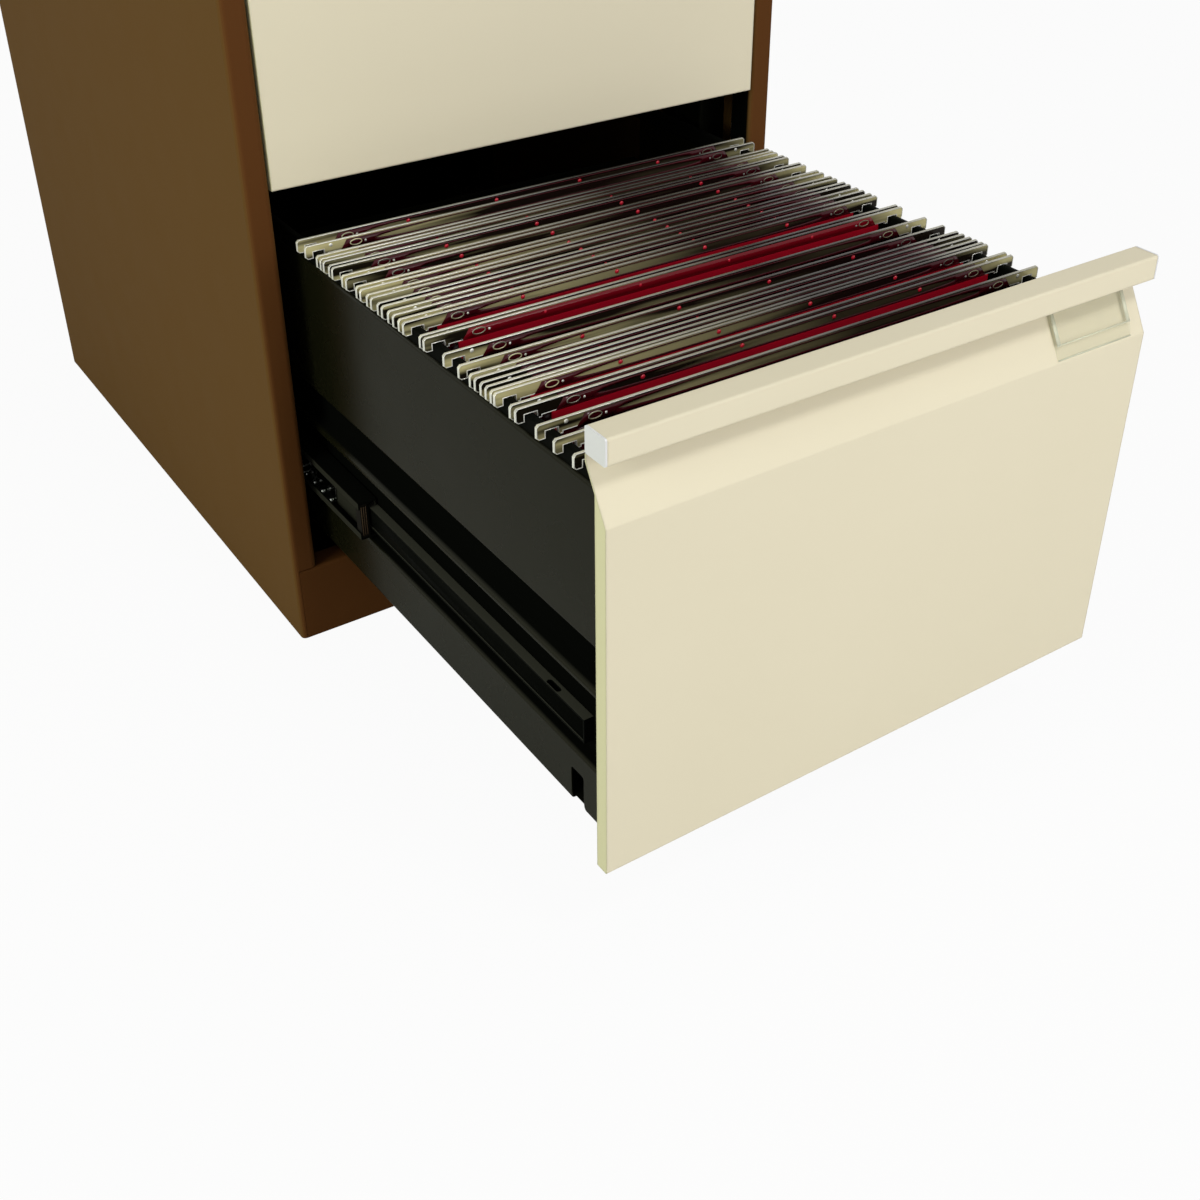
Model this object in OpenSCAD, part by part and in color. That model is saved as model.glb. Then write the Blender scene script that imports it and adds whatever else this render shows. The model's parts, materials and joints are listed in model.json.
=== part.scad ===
// Steel filing cabinet with two drawers, the lower one open and filled with hanging files.
// Millimetres. Origin on the floor under the middle of the carcass, +X right, +Y back, +Z up.

/* [Carcass] */
// Overall width
cab_w = 470; // [450:1:520]
// Overall depth of the carcass
cab_d = 622; // [600:1:720]
// Height of the plinth
plinth_h = 66; // [50:1:90]
// Depth of the fold along the top of the plinth
plinth_fold = 20; // [10:1:40]
// Height of the rail over the upper drawer
top_rail_h = 18; // [18:0.5:30]
// Depth of the fold along the bottom of the top rail
top_rail_fold = 12; // [6:1:18]
// Sheet thickness of the carcass
sheet = 1; // [0.7:0.1:1.5]
// Width of the front flange of a side panel
flange_w = 19.5; // [16:0.5:26]
// Depth of the fold behind the front flange
flange_fold = 25; // [15:1:25]
// Outside radius of a side panel's front edge
edge_r = 4; // [3:0.5:6]
// Width of the flange that the back panel is fixed to
rear_flange_w = 20; // [12:1:30]

/* [Uprights] */
// Width of an upright, front to back
upright_w = 40; // [30:1:60]
// Distance from the front plane to the front upright
front_upright_y = 60; // [55:1:120]
// Distance from the rear upright to the back
rear_upright_back = 102; // [80:1:150]

/* [Drawer fronts] */
// Height of a drawer front
front_h = 307.5; // [300:0.5:330]
// Gap between the two fronts
front_gap = 1; // [1:0.5:5]
// Gap under the lower front
base_gap = 10; // [3:0.5:15]
// Gap over the upper front
top_gap = 1; // [1:0.5:5]
// Gap beside a front
side_gap = 1.5; // [1:0.25:3]
// Sheet thickness of a front
front_sheet = 1; // [0.7:0.1:1.5]
// Depth of the folds round a front
front_fold = 10.5; // [8:0.5:16]
// Depth of the handle bar
handle_d = 19.5; // [18:0.5:28]
// Height of the handle bar
handle_h = 17; // [12:0.5:20]
// Height of the sloping recess under the handle
recess_h = 33; // [25:0.5:40]
// Height of the straight neck between recess and handle
neck_h = 5; // [3:0.5:12]
// Depth of the lip under the handle
handle_lip = 4; // [3:0.5:6]
// Thickness of a handle cap's outer plate
cap_t = 1.2; // [1:0.1:2]
// Length of a handle cap's plug
cap_plug = 10; // [6:1:20]

/* [Label holder] */
// Width of the label holder
label_w = 69; // [50:1:90]
// Distance from the right end of the front to the holder
label_end = 13; // [3:0.5:150]
// Thickness of the holder
label_t = 2.5; // [1.5:0.1:3]
// Distance of the holder from the foot of the recess
label_foot = 1; // [1:0.5:4]
// Height of the holder, measured up the slope
label_h = 31; // [24:0.5:31]
// Height of the wedge at the foot of the holder, measured up the slope
label_wedge = 10; // [6:0.5:14]

/* [Drawer body] */
// Distance from a closed drawer's body to the back of the cabinet
drawer_back_gap = 63.5; // [40:0.5:80]
// Sheet thickness of the drawer body
drawer_sheet = 1; // [0.7:0.1:1.5]
// Height of the wall's top edge over the foot of the front
wall_top = 256; // [240:1:262]
// Height of the wall's foot over the foot of the front
wall_foot = 5; // [4:0.5:12]
// Width of the fold on top of a wall
wall_fold = 8; // [8:0.5:11]
// Width of the fold under the drawer base
foot_fold = 12; // [8:0.5:20]
// Height of the lower edge of the pressed groove
groove_low = 110; // [105:1:115]
// Height of the groove's mouth
groove_h = 36; // [30:1:50]
// Depth of the groove
groove_d = 7.5; // [5:0.5:9]
// Height of the groove's sloping sides
groove_slope = 9; // [6:0.5:12]
// Height of the ridge between the groove and the slide's recess
ridge_h = 3; // [3:0.5:6]
// Depth of the recess that a slide sits in
slide_recess = 8; // [6:0.5:9]
// Height of the recess's sloping sides
recess_slope = 4; // [3:0.5:8]
// Distance from the carcass opening to a drawer wall
wall_inset = 17.5; // [15:0.5:20]
// Height of the drawer back
back_h = 210; // [120:1:230]
// Width of the folds on the drawer back
back_fold = 15; // [8:1:25]
// Width of the notch in the foot of a wall
notch_w = 14.5; // [8:0.5:20]
// Height of the notch over the foot of the front
notch_top = 33; // [25:0.5:40]
// Distance from the front face to the notch
notch_y = 50; // [40:1:60]
// Radius of the notch's upper corners
notch_r = 2; // [1:0.5:3]
// Radius of the wall's corner in front of the notch
notch_tab_r = 6; // [3:0.5:8]

/* [File rails] */
// Width of a file rail
file_rail_w = 5; // [4:0.5:6]
// Height of a file rail
file_rail_h = 11.5; // [9:0.5:12]
// Distance of a file rail from the outside of the wall
file_rail_inset = 2; // [1:0.25:2]
// Distance of a file rail's ends from the ends of the drawer body
file_rail_end = 5; // [2:0.5:12]

/* [Slides] */
// Height of the slide's middle over the foot of the front
slide_z = 70.5; // [66:0.5:76]
// Height of a channel rail
rail_h = 19; // [17:0.5:22]
// Metal thickness of a channel rail
rail_t = 1.5; // [1.2:0.1:1.8]
// Distance from the front face to a drawer rail
drawer_rail_y = 50; // [40:0.5:60]
// Distance from a drawer rail to the end of the drawer body
drawer_rail_back = 5.5; // [2:0.5:20]
// Distance from the front plane to a fixed rail
fixed_rail_y = 38; // [30:0.5:45]
// Distance from a fixed rail to the back of the cabinet
fixed_rail_back = 64; // [50:0.5:80]
// Distance from a closed drawer's middle member to the back of the cabinet
middle_back = 106; // [80:1:120]
// Distance from the front plane to a middle member of a closed drawer
middle_y = 16; // [15:0.5:18]
// Share of the drawer's travel that the middle member makes
middle_share = 0.22; // [0.2:0.005:0.28]
// Metal thickness of a middle member's web
middle_web = 1.2; // [1:0.1:1.8]
// Metal thickness of a middle member's top and bottom
middle_t = 1.5; // [1.2:0.1:2]
// Thickness of a middle member's lips
lip_t = 1; // [0.8:0.1:1.2]
// Clear height between a lip and a channel rail
lip_gap = 1; // [0.6:0.1:2]
// Width of a ball race
race_w = 6; // [5.8:0.1:6.2]
// Diameter of a ball
ball_d = 4.5; // [4:0.1:4.5]
// Balls in a row
ball_count = 7; // [5:1:8]
// Distance from ball to ball
ball_pitch = 16; // [12:0.5:18]
// Metal thickness of a ball cage
cage_t = 0.8; // [0.6:0.1:1]
// Distance of a cage's end balls from its ends
ball_end = 4; // [3:0.5:8]
// Distance from the front plane to the outer cage of a closed drawer
outer_cage_y = 25; // [25:1:40]
// Distance from the front plane to the inner cage of a closed drawer
inner_cage_y = 236; // [225:1:245]
// Length of a middle member's end bumper
bumper_len = 8; // [5:0.5:8]
// Length of the slot in a drawer rail
slot_len = 14; // [8:0.5:20]
// Width of the slot in a drawer rail
slot_w = 4; // [3:0.25:4.5]
// Distance from the front of a drawer rail to the middle of its slot
slot_y = 39; // [25:0.5:60]

/* [Screws] */
// Diameter of a screw
screw_d = 4; // [3:0.1:5]
// Diameter of a screw head
screw_head_d = 7.5; // [6:0.1:9]
// Height of a screw head
screw_head_h = 1.6; // [1.2:0.1:2.2]
// Length of a screw under its head
screw_len = 6; // [4:0.5:10]
// Distance of a drawer rail's end screws from its ends
screw_end = 60; // [50:1:100]

/* [Lock] */
// Distance from the lock to the right front flange
lock_inset = 25.5; // [18:0.5:100]
// Diameter of the lock barrel
barrel_d = 11; // [9:0.5:11]
// Wall of the lock housing
lock_wall = 2; // [1.5:0.1:2]
// Length of the lock housing behind the front plane
lock_len = 22; // [16:0.5:22]
// Diameter of the lock's front collar
collar_d = 16.5; // [16:0.25:17]
// Thickness of the lock's front collar
collar_t = 1; // [0.6:0.1:1.5]
// Radius of the crank pin's path
crank_r = 4; // [3:0.25:4]
// Diameter of the crank pin
crank_pin_d = 4; // [3:0.25:4]
// Thickness of the crank's disc
crank_t = 2; // [1.5:0.25:3]
// Thickness of the locking bar
bar_lock_t = 3; // [2:0.25:4]
// Width of the locking bar
bar_lock_w = 10; // [6:0.5:12]
// Height of the locking bar's arm
bar_arm_h = 9; // [8:0.5:9]
// Height of the locking bar's lower end
bar_lock_foot = 90; // [40:1:120]
// Height of a locking lug
lug_h = 14; // [8:0.5:20]

/* [Hanging files] */
// Thickness of a file bar
bar_t = 1.6; // [1:0.1:2]
// Height of a file bar
bar_h = 8.5; // [7:0.25:10]
// Height of a file bar over its rail
bar_neck = 4.5; // [3.5:0.25:6]
// Width of the hook at the end of a file bar
hook_w = 5.5; // [4:0.25:6]
// Height of the hook at the end of a file bar
hook_h = 10; // [9:0.25:12]
// Play of a hook at each side of its file rail
hook_play = 2; // [1:0.25:2.5]
// Width of the foot inside a file rail
hook_foot = 3; // [2:0.25:5]
// Distance from a pocket to the drawer wall's pressings
pocket_gap = 6; // [4:0.5:20]
// Distance from a pocket's foot to the drawer base
pocket_clear = 23; // [10:1:60]
// Height of a pocket's straight top
pocket_straight = 20; // [18:1:40]
// Width of a pocket's floor
pocket_floor = 4; // [3:0.5:5]
// Thickness of a pocket's sheet
pocket_t = 0.8; // [0.4:0.1:1]
// Distance from an index strip's ends to the pocket's ends
strip_end = 4; // [2:1:60]
// Height of an index strip
strip_h = 14; // [8:0.5:16]
// Thickness of an index strip
strip_t = 1; // [0.6:0.1:1.5]

/* [Pose] */
// How far the lower drawer stands open
lower_open = 422; // [0:1:480]
// How far the upper drawer stands open
upper_open = 0; // [0:1:480]

/* [Fits] */
// Gap between pieces that are put together
fit = 0.2; // [0.1:0.05:0.3]
// Visible seam between the plinth and the front flanges
seam = 0.5; // [0.3:0.1:1]
// Gap between pieces that move past each other
run_gap = 0.3; // [0.2:0.05:0.4]
// Gap round the lock barrel
lock_play = 0.05; // [0.03:0.01:0.1]
// Gap between the recess's floor and the middle member
wall_gap = 1.5; // [1:0.1:2]
// Gap between the middle member and the foot of its recess
recess_gap = 2; // [1:0.25:4]

/* [Hidden] */

// Places of the hanging files: distance behind the front face, then how far the file stands open
front_files = [[48, 20], [87, 23], [116, 18], [138, 6], [150, 7], [163, 14], [196, 26]];
rear_files = [
    [227, 23], [256, 8], [271, 9], [286, 10], [302, 10],
    [318, 16], [340, 16], [361, 9], [375, 6], [401, 14]
];

// Paint and material colours
coffee = "#5A4229";
cream = "#E0D8B8";
charcoal = "#2F2F29";
rail_black = "#161715";
zinc = "#B9BCB8";
steel = "#C8C8C0";
cap_white = "#D8DAD8";
clear_plastic = "#E8E6D8";
pocket_red = "#4A0A12";
strip_red = "#A80C24";
bumper_brown = "#6A5A48";

// Steps in a bend, and its radius at the middle of the sheet
bend_steps = 4;
bend_r = 2;
tight_bend_r = 1.2;
front_bend_r = 0.9;
// A cut that runs past the faces it goes through
past = 1;
$fn = 48;

// Heights and places of the carcass and the drawers
lower_z = plinth_h + base_gap;
upper_z = lower_z + front_h + front_gap;
cab_h = upper_z + front_h + top_gap + top_rail_h;
front_y = -cab_d / 2;
half_w = cab_w / 2;
opening_half = half_w - flange_w;
front_half = opening_half - side_gap;
face_h = front_h - handle_h - neck_h - recess_h;
handle_z = front_h - handle_h;
body_y = front_fold + drawer_sheet;
body_end = cab_d - drawer_back_gap;
rear_upright_y = cab_d - upright_w - rear_upright_back;
label_x = front_half - label_end - label_w / 2;

// The slide's section, from the drawer wall outwards
middle_w = 2 * (lip_t + race_w) + middle_web;
wall_x = opening_half - wall_inset;
slide_x = wall_x - slide_recess;
inside_x = wall_x - max(groove_d, slide_recess) - drawer_sheet;
middle_x = slide_x + wall_gap;
inner_race_x = middle_x + lip_t;
web_x = inner_race_x + race_w;
web_mid_x = web_x + middle_web / 2;
cage_room = cage_t + 2 * run_gap;
rail_d = wall_gap + lip_t + race_w - cage_room;
upright_x = 2 * web_mid_x - slide_x;
race_half_h = rail_h / 2 + 2 * run_gap + ball_d;
middle_half_h = race_half_h + middle_t;
lip_edge = rail_h / 2 + lip_gap;
ball_z = rail_h / 2 + run_gap + ball_d / 2;
ball_room = race_w - run_gap - cage_t;
ball_x = inner_race_x + ball_room / 2;
leg_d = ball_room - run_gap;
cage_len = 2 * ball_end + (ball_count - 1) * ball_pitch;
drawer_rail_end = body_end - drawer_rail_back;
fixed_rail_end = cab_d - fixed_rail_back;

// How far the slide's pieces stand out with a drawer
function middle_out(out) = out * middle_share;
function outer_cage_out(out) = out * middle_share / 2;
function inner_cage_out(out) = out * (1 + middle_share) / 2;

// Screw holes and screw places
screw_hole_d = screw_d + 2 * fit;
screw_slot = 1;
drawer_screw_y = [
    drawer_rail_y + screw_end,
    (drawer_rail_y + drawer_rail_end) / 2,
    drawer_rail_end - screw_end
];
fixed_screw_y = [front_upright_y + upright_w / 2, rear_upright_y + upright_w / 2];

// The lock and its bar
lock_x = opening_half - lock_inset;
lock_z = cab_h - top_rail_h / 2;
housing_d = barrel_d + 2 * lock_wall + 2 * lock_play;
crank_y = front_y + lock_len + run_gap;
crank_angle = 45;
pin_x = lock_x + crank_r * cos(crank_angle);
pin_z = lock_z - crank_r * sin(crank_angle);
bar_lock_y = max(crank_y + crank_t, front_y + flange_fold) + run_gap;
pin_len = bar_lock_y + bar_lock_t + run_gap - crank_y - crank_t;
bar_slot_h = crank_pin_d + 2 * run_gap;
bar_slot_w = bar_slot_h + 2 * crank_r * (1 - cos(crank_angle));
bar_slot_x = lock_x + crank_r * (1 + cos(crank_angle)) / 2;
lug_w = 2;
bar_lock_x = opening_half + lug_w + fit;
key_w = 1.6;
key_h = 7;
key_d = 3;

// The files and the rail they hang on
file_rail_out = wall_x - file_rail_inset;
file_rail_in = file_rail_out - file_rail_w;
file_rail_top = wall_top + file_rail_h;
notch_in = file_rail_in - hook_play;
notch_out = file_rail_out + hook_play;
bar_half = notch_out + hook_w;
pocket_half = inside_x - pocket_gap;
strip_half = pocket_half - strip_end;
bar_top = file_rail_top + run_gap + bar_neck;
hook_r = 1.5;
pocket_top = bar_top - bar_h - fit;

// Sheet folding: a line of points with rounded corners, thickened to a closed outline
function unit(v) = v / norm(v);
function across(v) = [-v.y, v.x];
function corner(a, b, c, r) =
    let (u = unit(a - b))
    let (v = unit(c - b))
    let (half = acos(u * v) / 2)
    let (mid = b + unit(u + v) * r / sin(half))
    let (from = b + u * r / tan(half) - mid)
    let (to = b + v * r / tan(half) - mid)
    let (start = atan2(from.y, from.x))
    let (turn = atan2(to.y, to.x) - start)
    let (short = turn - 360 * round(turn / 360))
    let (step = short / bend_steps)
    [for (i = [0 : bend_steps]) mid + r * [cos(start + step * i), sin(start + step * i)]];
function bent(p, r) = [
    p[0],
    for (i = [1 : len(p) - 2]) each corner(p[i - 1], p[i], p[i + 1], r),
    p[len(p) - 1]
];
function rounded(p, r) = [
    for (i = [0 : len(p) - 1])
        each corner(p[(i + len(p) - 1) % len(p)], p[i], p[(i + 1) % len(p)], r)
];
function step_dir(p, i) = unit(p[min(i + 1, len(p) - 1)] - p[min(i, len(p) - 2)]);
function miter(p, i) =
    let (n0 = across(step_dir(p, max(i - 1, 0))))
    let (n1 = across(step_dir(p, i)))
    let (m = unit(n0 + n1))
    m / (m * n0);
function shifted(p, d) = [for (i = [0 : len(p) - 1]) p[i] + d * miter(p, i)];
function reversed(p) = [for (i = [len(p) - 1 : -1 : 0]) p[i]];
function folded(p, t, r) = concat(shifted(bent(p, r), t / 2), reversed(shifted(bent(p, r), -t / 2)));

// Extrusions along each axis: along_x takes points in y and z, along_y points in x and z
module along_x(x0, x1) translate([x0, 0, 0]) rotate([90, 0, 90]) linear_extrude(x1 - x0) children();
module along_y(y0, y1) translate([0, y1, 0]) rotate([90, 0, 0]) linear_extrude(y1 - y0) children();
module along_z(z0, z1) translate([0, 0, z0]) linear_extrude(z1 - z0) children();
module block(low, high) translate(low) cube(high - low);
module rod_x(x0, x1, d) along_x(x0, x1) circle(d = d);
module rod_y(y0, y1, d) along_y(y0, y1) circle(d = d);

// Pieces are drawn on the right and mirrored to the left
module left() mirror([1, 0, 0]) children();
module both() {
    children();
    left() children();
}
module lower(out = 0) translate([0, front_y - out, lower_z]) children();
module upper(out = 0) translate([0, front_y - out, upper_z]) children();

// Carcass
module side_panel() {
    wall = half_w - sheet / 2;
    front = front_y + sheet / 2;
    rear = -front_y - sheet - sheet / 2;
    inner = opening_half + sheet / 2;
    plan = [
        [half_w - rear_flange_w, rear], [wall, rear], [wall, front],
        [inner, front], [inner, front_y + flange_fold]
    ];
    color(coffee) difference() {
        along_z(0, cab_h - sheet) polygon(folded(plan, sheet, edge_r - sheet / 2));
        block([opening_half - past, front_y - past, -past],
            [half_w - edge_r, front_y + flange_fold + past, plinth_h + seam]);
    }
}
module back_panel() {
    half = half_w - sheet;
    color(coffee) block([-half, -front_y - sheet, 0], [half, -front_y, cab_h - sheet]);
}
module top_panel() {
    front = front_y + sheet / 2;
    foot = cab_h - top_rail_h + sheet / 2;
    rail = [[front, cab_h - sheet / 2], [front, foot], [front_y + top_rail_fold, foot]];
    half = opening_half - fit;
    color(coffee) difference() {
        union() {
            block([-half_w, front_y, cab_h - sheet], [half_w, -front_y, cab_h]);
            along_x(-half, half) polygon(folded(rail, sheet, tight_bend_r));
        }
        translate([lock_x, 0, lock_z]) rod_y(front_y - past, front_y + sheet + past, housing_d + 2 * fit);
    }
}
module plinth() {
    half = half_w - edge_r - fit;
    front = front_y + sheet / 2;
    top = plinth_h - sheet / 2;
    color(coffee) along_x(-half, half)
        polygon(folded([[front, 0], [front, top], [front_y + plinth_fold, top]], sheet, bend_r));
}
module base_pan() {
    half = half_w - sheet;
    front = front_y + sheet;
    rear = -front_y - 2 * sheet;
    color(coffee) along_z(0, sheet)
        polygon(rounded([[-half, front], [half, front], [half, rear], [-half, rear]], edge_r));
}
module upright(y) {
    foot = half_w - sheet;
    face = upright_x + sheet / 2;
    front = front_y + y + sheet / 2;
    rear = front_y + y + upright_w - sheet / 2;
    color(charcoal) difference() {
        along_z(sheet, cab_h - sheet)
            polygon(folded([[foot, front], [face, front], [face, rear], [foot, rear]], sheet, bend_r));
        for (z = [lower_z, upper_z])
            translate([0, front_y + y + upright_w / 2, z + slide_z])
                rod_x(upright_x - past, upright_x + sheet + past, screw_hole_d);
    }
}

// Slides: a channel rail on the drawer wall, a middle member, and a channel rail on the uprights
module rail_section() {
    half = rail_h / 2;
    difference() {
        translate([0, -half]) square([rail_d, rail_h]);
        translate([rail_t, rail_t - half]) square([rail_d, rail_h - 2 * rail_t]);
    }
}
module drawer_rail() {
    half = rail_h / 2;
    color(rail_black) difference() {
        translate([slide_x, 0, slide_z]) {
            along_y(drawer_rail_y, drawer_rail_end) rail_section();
            block([0, drawer_rail_y, -half], [rail_d, drawer_rail_y + rail_t, half]);
        }
        translate([slide_x + (rail_t + rail_d) / 2, drawer_rail_y + slot_y, slide_z]) rail_slot();
        for (y = drawer_screw_y)
            translate([0, y, slide_z]) rod_x(slide_x - past, slide_x + rail_t + past, screw_hole_d);
    }
}
module rail_slot() {
    reach = (slot_len - slot_w) / 2;
    along_z(0, rail_h) {
        square([slot_w, 2 * reach], center = true);
        for (s = [-1, 1])
            translate([0, s * reach]) circle(d = slot_w);
    }
}
module fixed_rail() {
    color(zinc) difference() {
        translate([upright_x, front_y, slide_z]) mirror([1, 0, 0])
            along_y(fixed_rail_y, fixed_rail_end) rail_section();
        for (y = fixed_screw_y)
            translate([0, front_y + y, slide_z])
                rod_x(upright_x - rail_t - past, upright_x + past, screw_hole_d);
    }
}
module slide() {
    mouth = lip_edge;
    color(charcoal) translate([middle_x, 0, slide_z]) along_y(middle_y, cab_d - middle_back) difference() {
        translate([0, -middle_half_h]) square([middle_w, 2 * middle_half_h]);
        for (x = [lip_t, lip_t + race_w + middle_web])
            translate([x, -race_half_h]) square([race_w, 2 * race_half_h]);
        for (x = [-past, middle_w - lip_t - past])
            translate([x, -mouth]) square([lip_t + 2 * past, 2 * mouth]);
    }
}
module slide_bumper() {
    low = web_x + middle_web + fit;
    high = middle_x + middle_w - lip_t - fit;
    half = race_half_h - fit;
    color(bumper_brown) translate([0, 0, slide_z])
        block([low, middle_y, -half], [high, middle_y + bumper_len, half]);
}
module ball_cage() {
    plate_x = web_x - run_gap - cage_t;
    reach = ball_z + cage_t / 2;
    balls = [for (i = [0 : ball_count - 1]) ball_end + i * ball_pitch];
    color(zinc) translate([0, 0, slide_z]) {
        difference() {
            union() {
                block([plate_x, 0, -reach], [plate_x + cage_t, cage_len, reach]);
                for (z = [-ball_z, ball_z])
                    block([plate_x - leg_d, 0, z - cage_t / 2],
                        [plate_x + cage_t / 2, cage_len, z + cage_t / 2]);
            }
            for (y = balls)
                translate([ball_x, y, -race_half_h]) cylinder(d = ball_d + 2 * fit, h = 2 * race_half_h);
        }
        for (y = balls, z = [-ball_z, ball_z])
            translate([ball_x, y, z]) sphere(d = ball_d);
    }
}
module inner_ball_cages() both() translate([0, inner_cage_y, 0]) ball_cage();
module outer_ball_cages() both() translate([2 * web_mid_x, outer_cage_y, 0]) mirror([1, 0, 0]) ball_cage();
module slide_bumpers() both() slide_bumper();

// Screws, drawn along +X with the underside of the head at x = 0 and the tip towards -X
module screw() {
    rod_x(-screw_len, 0, screw_d);
    difference() {
        rod_x(0, screw_head_h, screw_head_d);
        block([screw_head_h / 2, -screw_head_d, -screw_slot / 2],
            [screw_head_h + past, screw_head_d, screw_slot / 2]);
    }
}
module drawer_rail_screws() {
    color(zinc) both()
        for (y = drawer_screw_y)
            translate([slide_x + rail_t, y, slide_z]) screw();
}
module fixed_rail_screws() {
    color(zinc) both()
        for (y = fixed_screw_y, z = [lower_z, upper_z])
            translate([upright_x - rail_t, front_y + y, z + slide_z]) mirror([1, 0, 0]) screw();
}

// Drawer, with its front face at y = 0 and the foot of its front at z = 0
module drawer_front() {
    t = front_sheet;
    c = t / 2;
    line = [
        [front_fold, c], [c, c], [c, face_h], [handle_d - c, face_h + recess_h], [handle_d - c, front_h - c],
        [c, front_h - c], [c, handle_z + c], [handle_lip, handle_z + c]
    ];
    fold_top = face_h + recess_h * front_fold / handle_d - t;
    fold_line = [[c, c], [front_fold, c], [front_fold, fold_top], [c, face_h]];
    color(cream) difference() {
        union() {
            along_x(-front_half, front_half) polygon(folded(line, t, front_bend_r));
            both() along_x(front_half - t, front_half) polygon(fold_line);
        }
        both() block([front_half - cap_t, -past, handle_z - fit],
            [front_half + past, handle_d + past, front_h + past]);
    }
}
module front_liner() {
    half = front_half - front_sheet - fit;
    top = face_h + recess_h * front_fold / handle_d - 2 * bend_r;
    color(charcoal) block([-half, front_fold, front_sheet], [half, body_y, top]);
}
function handle_end(inset) = [
    [inset, handle_z + inset], [handle_d - inset, handle_z + inset],
    [handle_d - inset, front_h - inset], [inset, front_h - inset]
];
module handle_caps() {
    plate = front_half - cap_t;
    color(cap_white) both() {
        along_x(plate, front_half) polygon(rounded(handle_end(0), front_bend_r + front_sheet / 2));
        along_x(plate - cap_plug, plate + cap_t / 2)
            polygon(rounded(handle_end(front_sheet + fit), front_bend_r));
    }
}
module label_holder() {
    slope = unit([handle_d - front_sheet, recess_h]);
    out = across(slope);
    foot = [front_sheet / 2, face_h] + out * (front_sheet / 2 + fit) + slope * label_foot;
    color(clear_plastic) along_x(label_x - label_w / 2, label_x + label_w / 2)
        polygon([foot, foot + slope * label_h, foot + slope * label_h + out * label_t,
            foot + slope * label_wedge + out * label_t]);
}
module drawer_wall() {
    c = drawer_sheet / 2;
    groove = wall_x - groove_d - c;
    high = groove_low + groove_h;
    ridge = groove_low - ridge_h;
    recess_foot = slide_z - middle_half_h - recess_gap;
    line = [
        [wall_x - wall_fold, wall_top - c], [wall_x - c, wall_top - c], [wall_x - c, high],
        [groove, high - groove_slope], [groove, groove_low + groove_slope], [wall_x - c, groove_low],
        [wall_x - c, ridge], [slide_x - c, ridge - recess_slope],
        [slide_x - c, recess_foot], [wall_x - c, recess_foot - recess_slope],
        [wall_x - c, wall_foot + c], [wall_x - foot_fold, wall_foot + c]
    ];
    color(charcoal) difference() {
        along_y(body_y, body_end) polygon(folded(line, drawer_sheet, bend_r));
        wall_notch();
        for (y = drawer_screw_y)
            translate([0, y, slide_z]) rod_x(slide_x - drawer_sheet - past, slide_x + past, screw_hole_d);
    }
}
module wall_notch() {
    low = wall_x - foot_fold - past;
    high = wall_x + past;
    rear = notch_y + notch_w;
    tab = [notch_y - notch_tab_r, wall_foot];
    foot = [notch_y, wall_foot];
    top = [notch_y, notch_top];
    rear_top = [rear, notch_top];
    rear_foot = [rear, wall_foot - past];
    along_x(low, high) polygon([
        tab - [0, past], each corner(tab, foot, top, notch_tab_r),
        each corner(foot, top, rear_top, notch_r), each corner(top, rear_top, rear_foot, notch_r), rear_foot
    ]);
}
module drawer_back() {
    c = drawer_sheet / 2;
    half = inside_x - c;
    front = body_end - back_fold;
    rear = body_end - c;
    z0 = wall_foot + 2 * drawer_sheet;
    color(charcoal) along_z(z0, z0 + back_h)
        polygon(folded([[-half, front], [-half, rear], [half, rear], [half, front]], drawer_sheet, bend_r));
}
module drawer_base() {
    half = wall_x - drawer_sheet - bend_r;
    z0 = wall_foot + drawer_sheet;
    color(charcoal) block([-half, body_y, z0], [half, body_end, z0 + drawer_sheet]);
}
module file_rails() {
    c = drawer_sheet / 2;
    low = file_rail_in + c;
    high = file_rail_out - c;
    top = file_rail_top - c;
    line = [[low, wall_top], [low, top], [high, top], [high, wall_top]];
    color(rail_black) both() along_y(body_y + file_rail_end, body_end - file_rail_end)
        polygon(folded(line, drawer_sheet, tight_bend_r));
}

// Lock
module lock_housing() {
    color(zinc) translate([lock_x, 0, lock_z]) difference() {
        union() {
            rod_y(front_y, front_y + lock_len, housing_d);
            rod_y(front_y - collar_t, front_y, collar_d);
        }
        rod_y(front_y - collar_t - past, front_y + lock_len + past, barrel_d + 2 * lock_play);
    }
}
module lock_barrel() {
    face = front_y - collar_t;
    color(zinc) translate([lock_x, 0, lock_z]) difference() {
        rod_y(face, crank_y, barrel_d);
        block([-key_w / 2, face - past, -key_h / 2], [key_w / 2, face + key_d, key_h / 2]);
    }
}
module lock_crank() {
    color(zinc) {
        translate([lock_x, 0, lock_z]) rod_y(crank_y, crank_y + crank_t, barrel_d + lock_wall);
        translate([pin_x, 0, pin_z]) rod_y(crank_y + crank_t / 2, crank_y + crank_t + pin_len, crank_pin_d);
    }
}
module locking_bar() {
    y0 = bar_lock_y;
    y1 = y0 + bar_lock_t;
    right = bar_lock_x + bar_lock_w;
    arm = bar_arm_h / 2;
    color(zinc) difference() {
        union() {
            block([bar_lock_x, y0, bar_lock_foot], [right, y1, pin_z + arm]);
            block([lock_x - crank_r, y0, pin_z - arm], [right, y1, pin_z + arm]);
            for (z = [lower_z, upper_z])
                block([bar_lock_x - lug_w, y0, z + slide_z - lug_h / 2],
                    [right, y1, z + slide_z + lug_h / 2]);
        }
        translate([bar_slot_x, 0, pin_z]) bar_slot(y0 - past, y1 + past);
    }
}
module bar_slot(y0, y1) {
    reach = (bar_slot_w - bar_slot_h) / 2;
    along_y(y0, y1) {
        square([2 * reach, bar_slot_h], center = true);
        for (s = [-1, 1])
            translate([s * reach, 0]) circle(d = bar_slot_h);
    }
}

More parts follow.
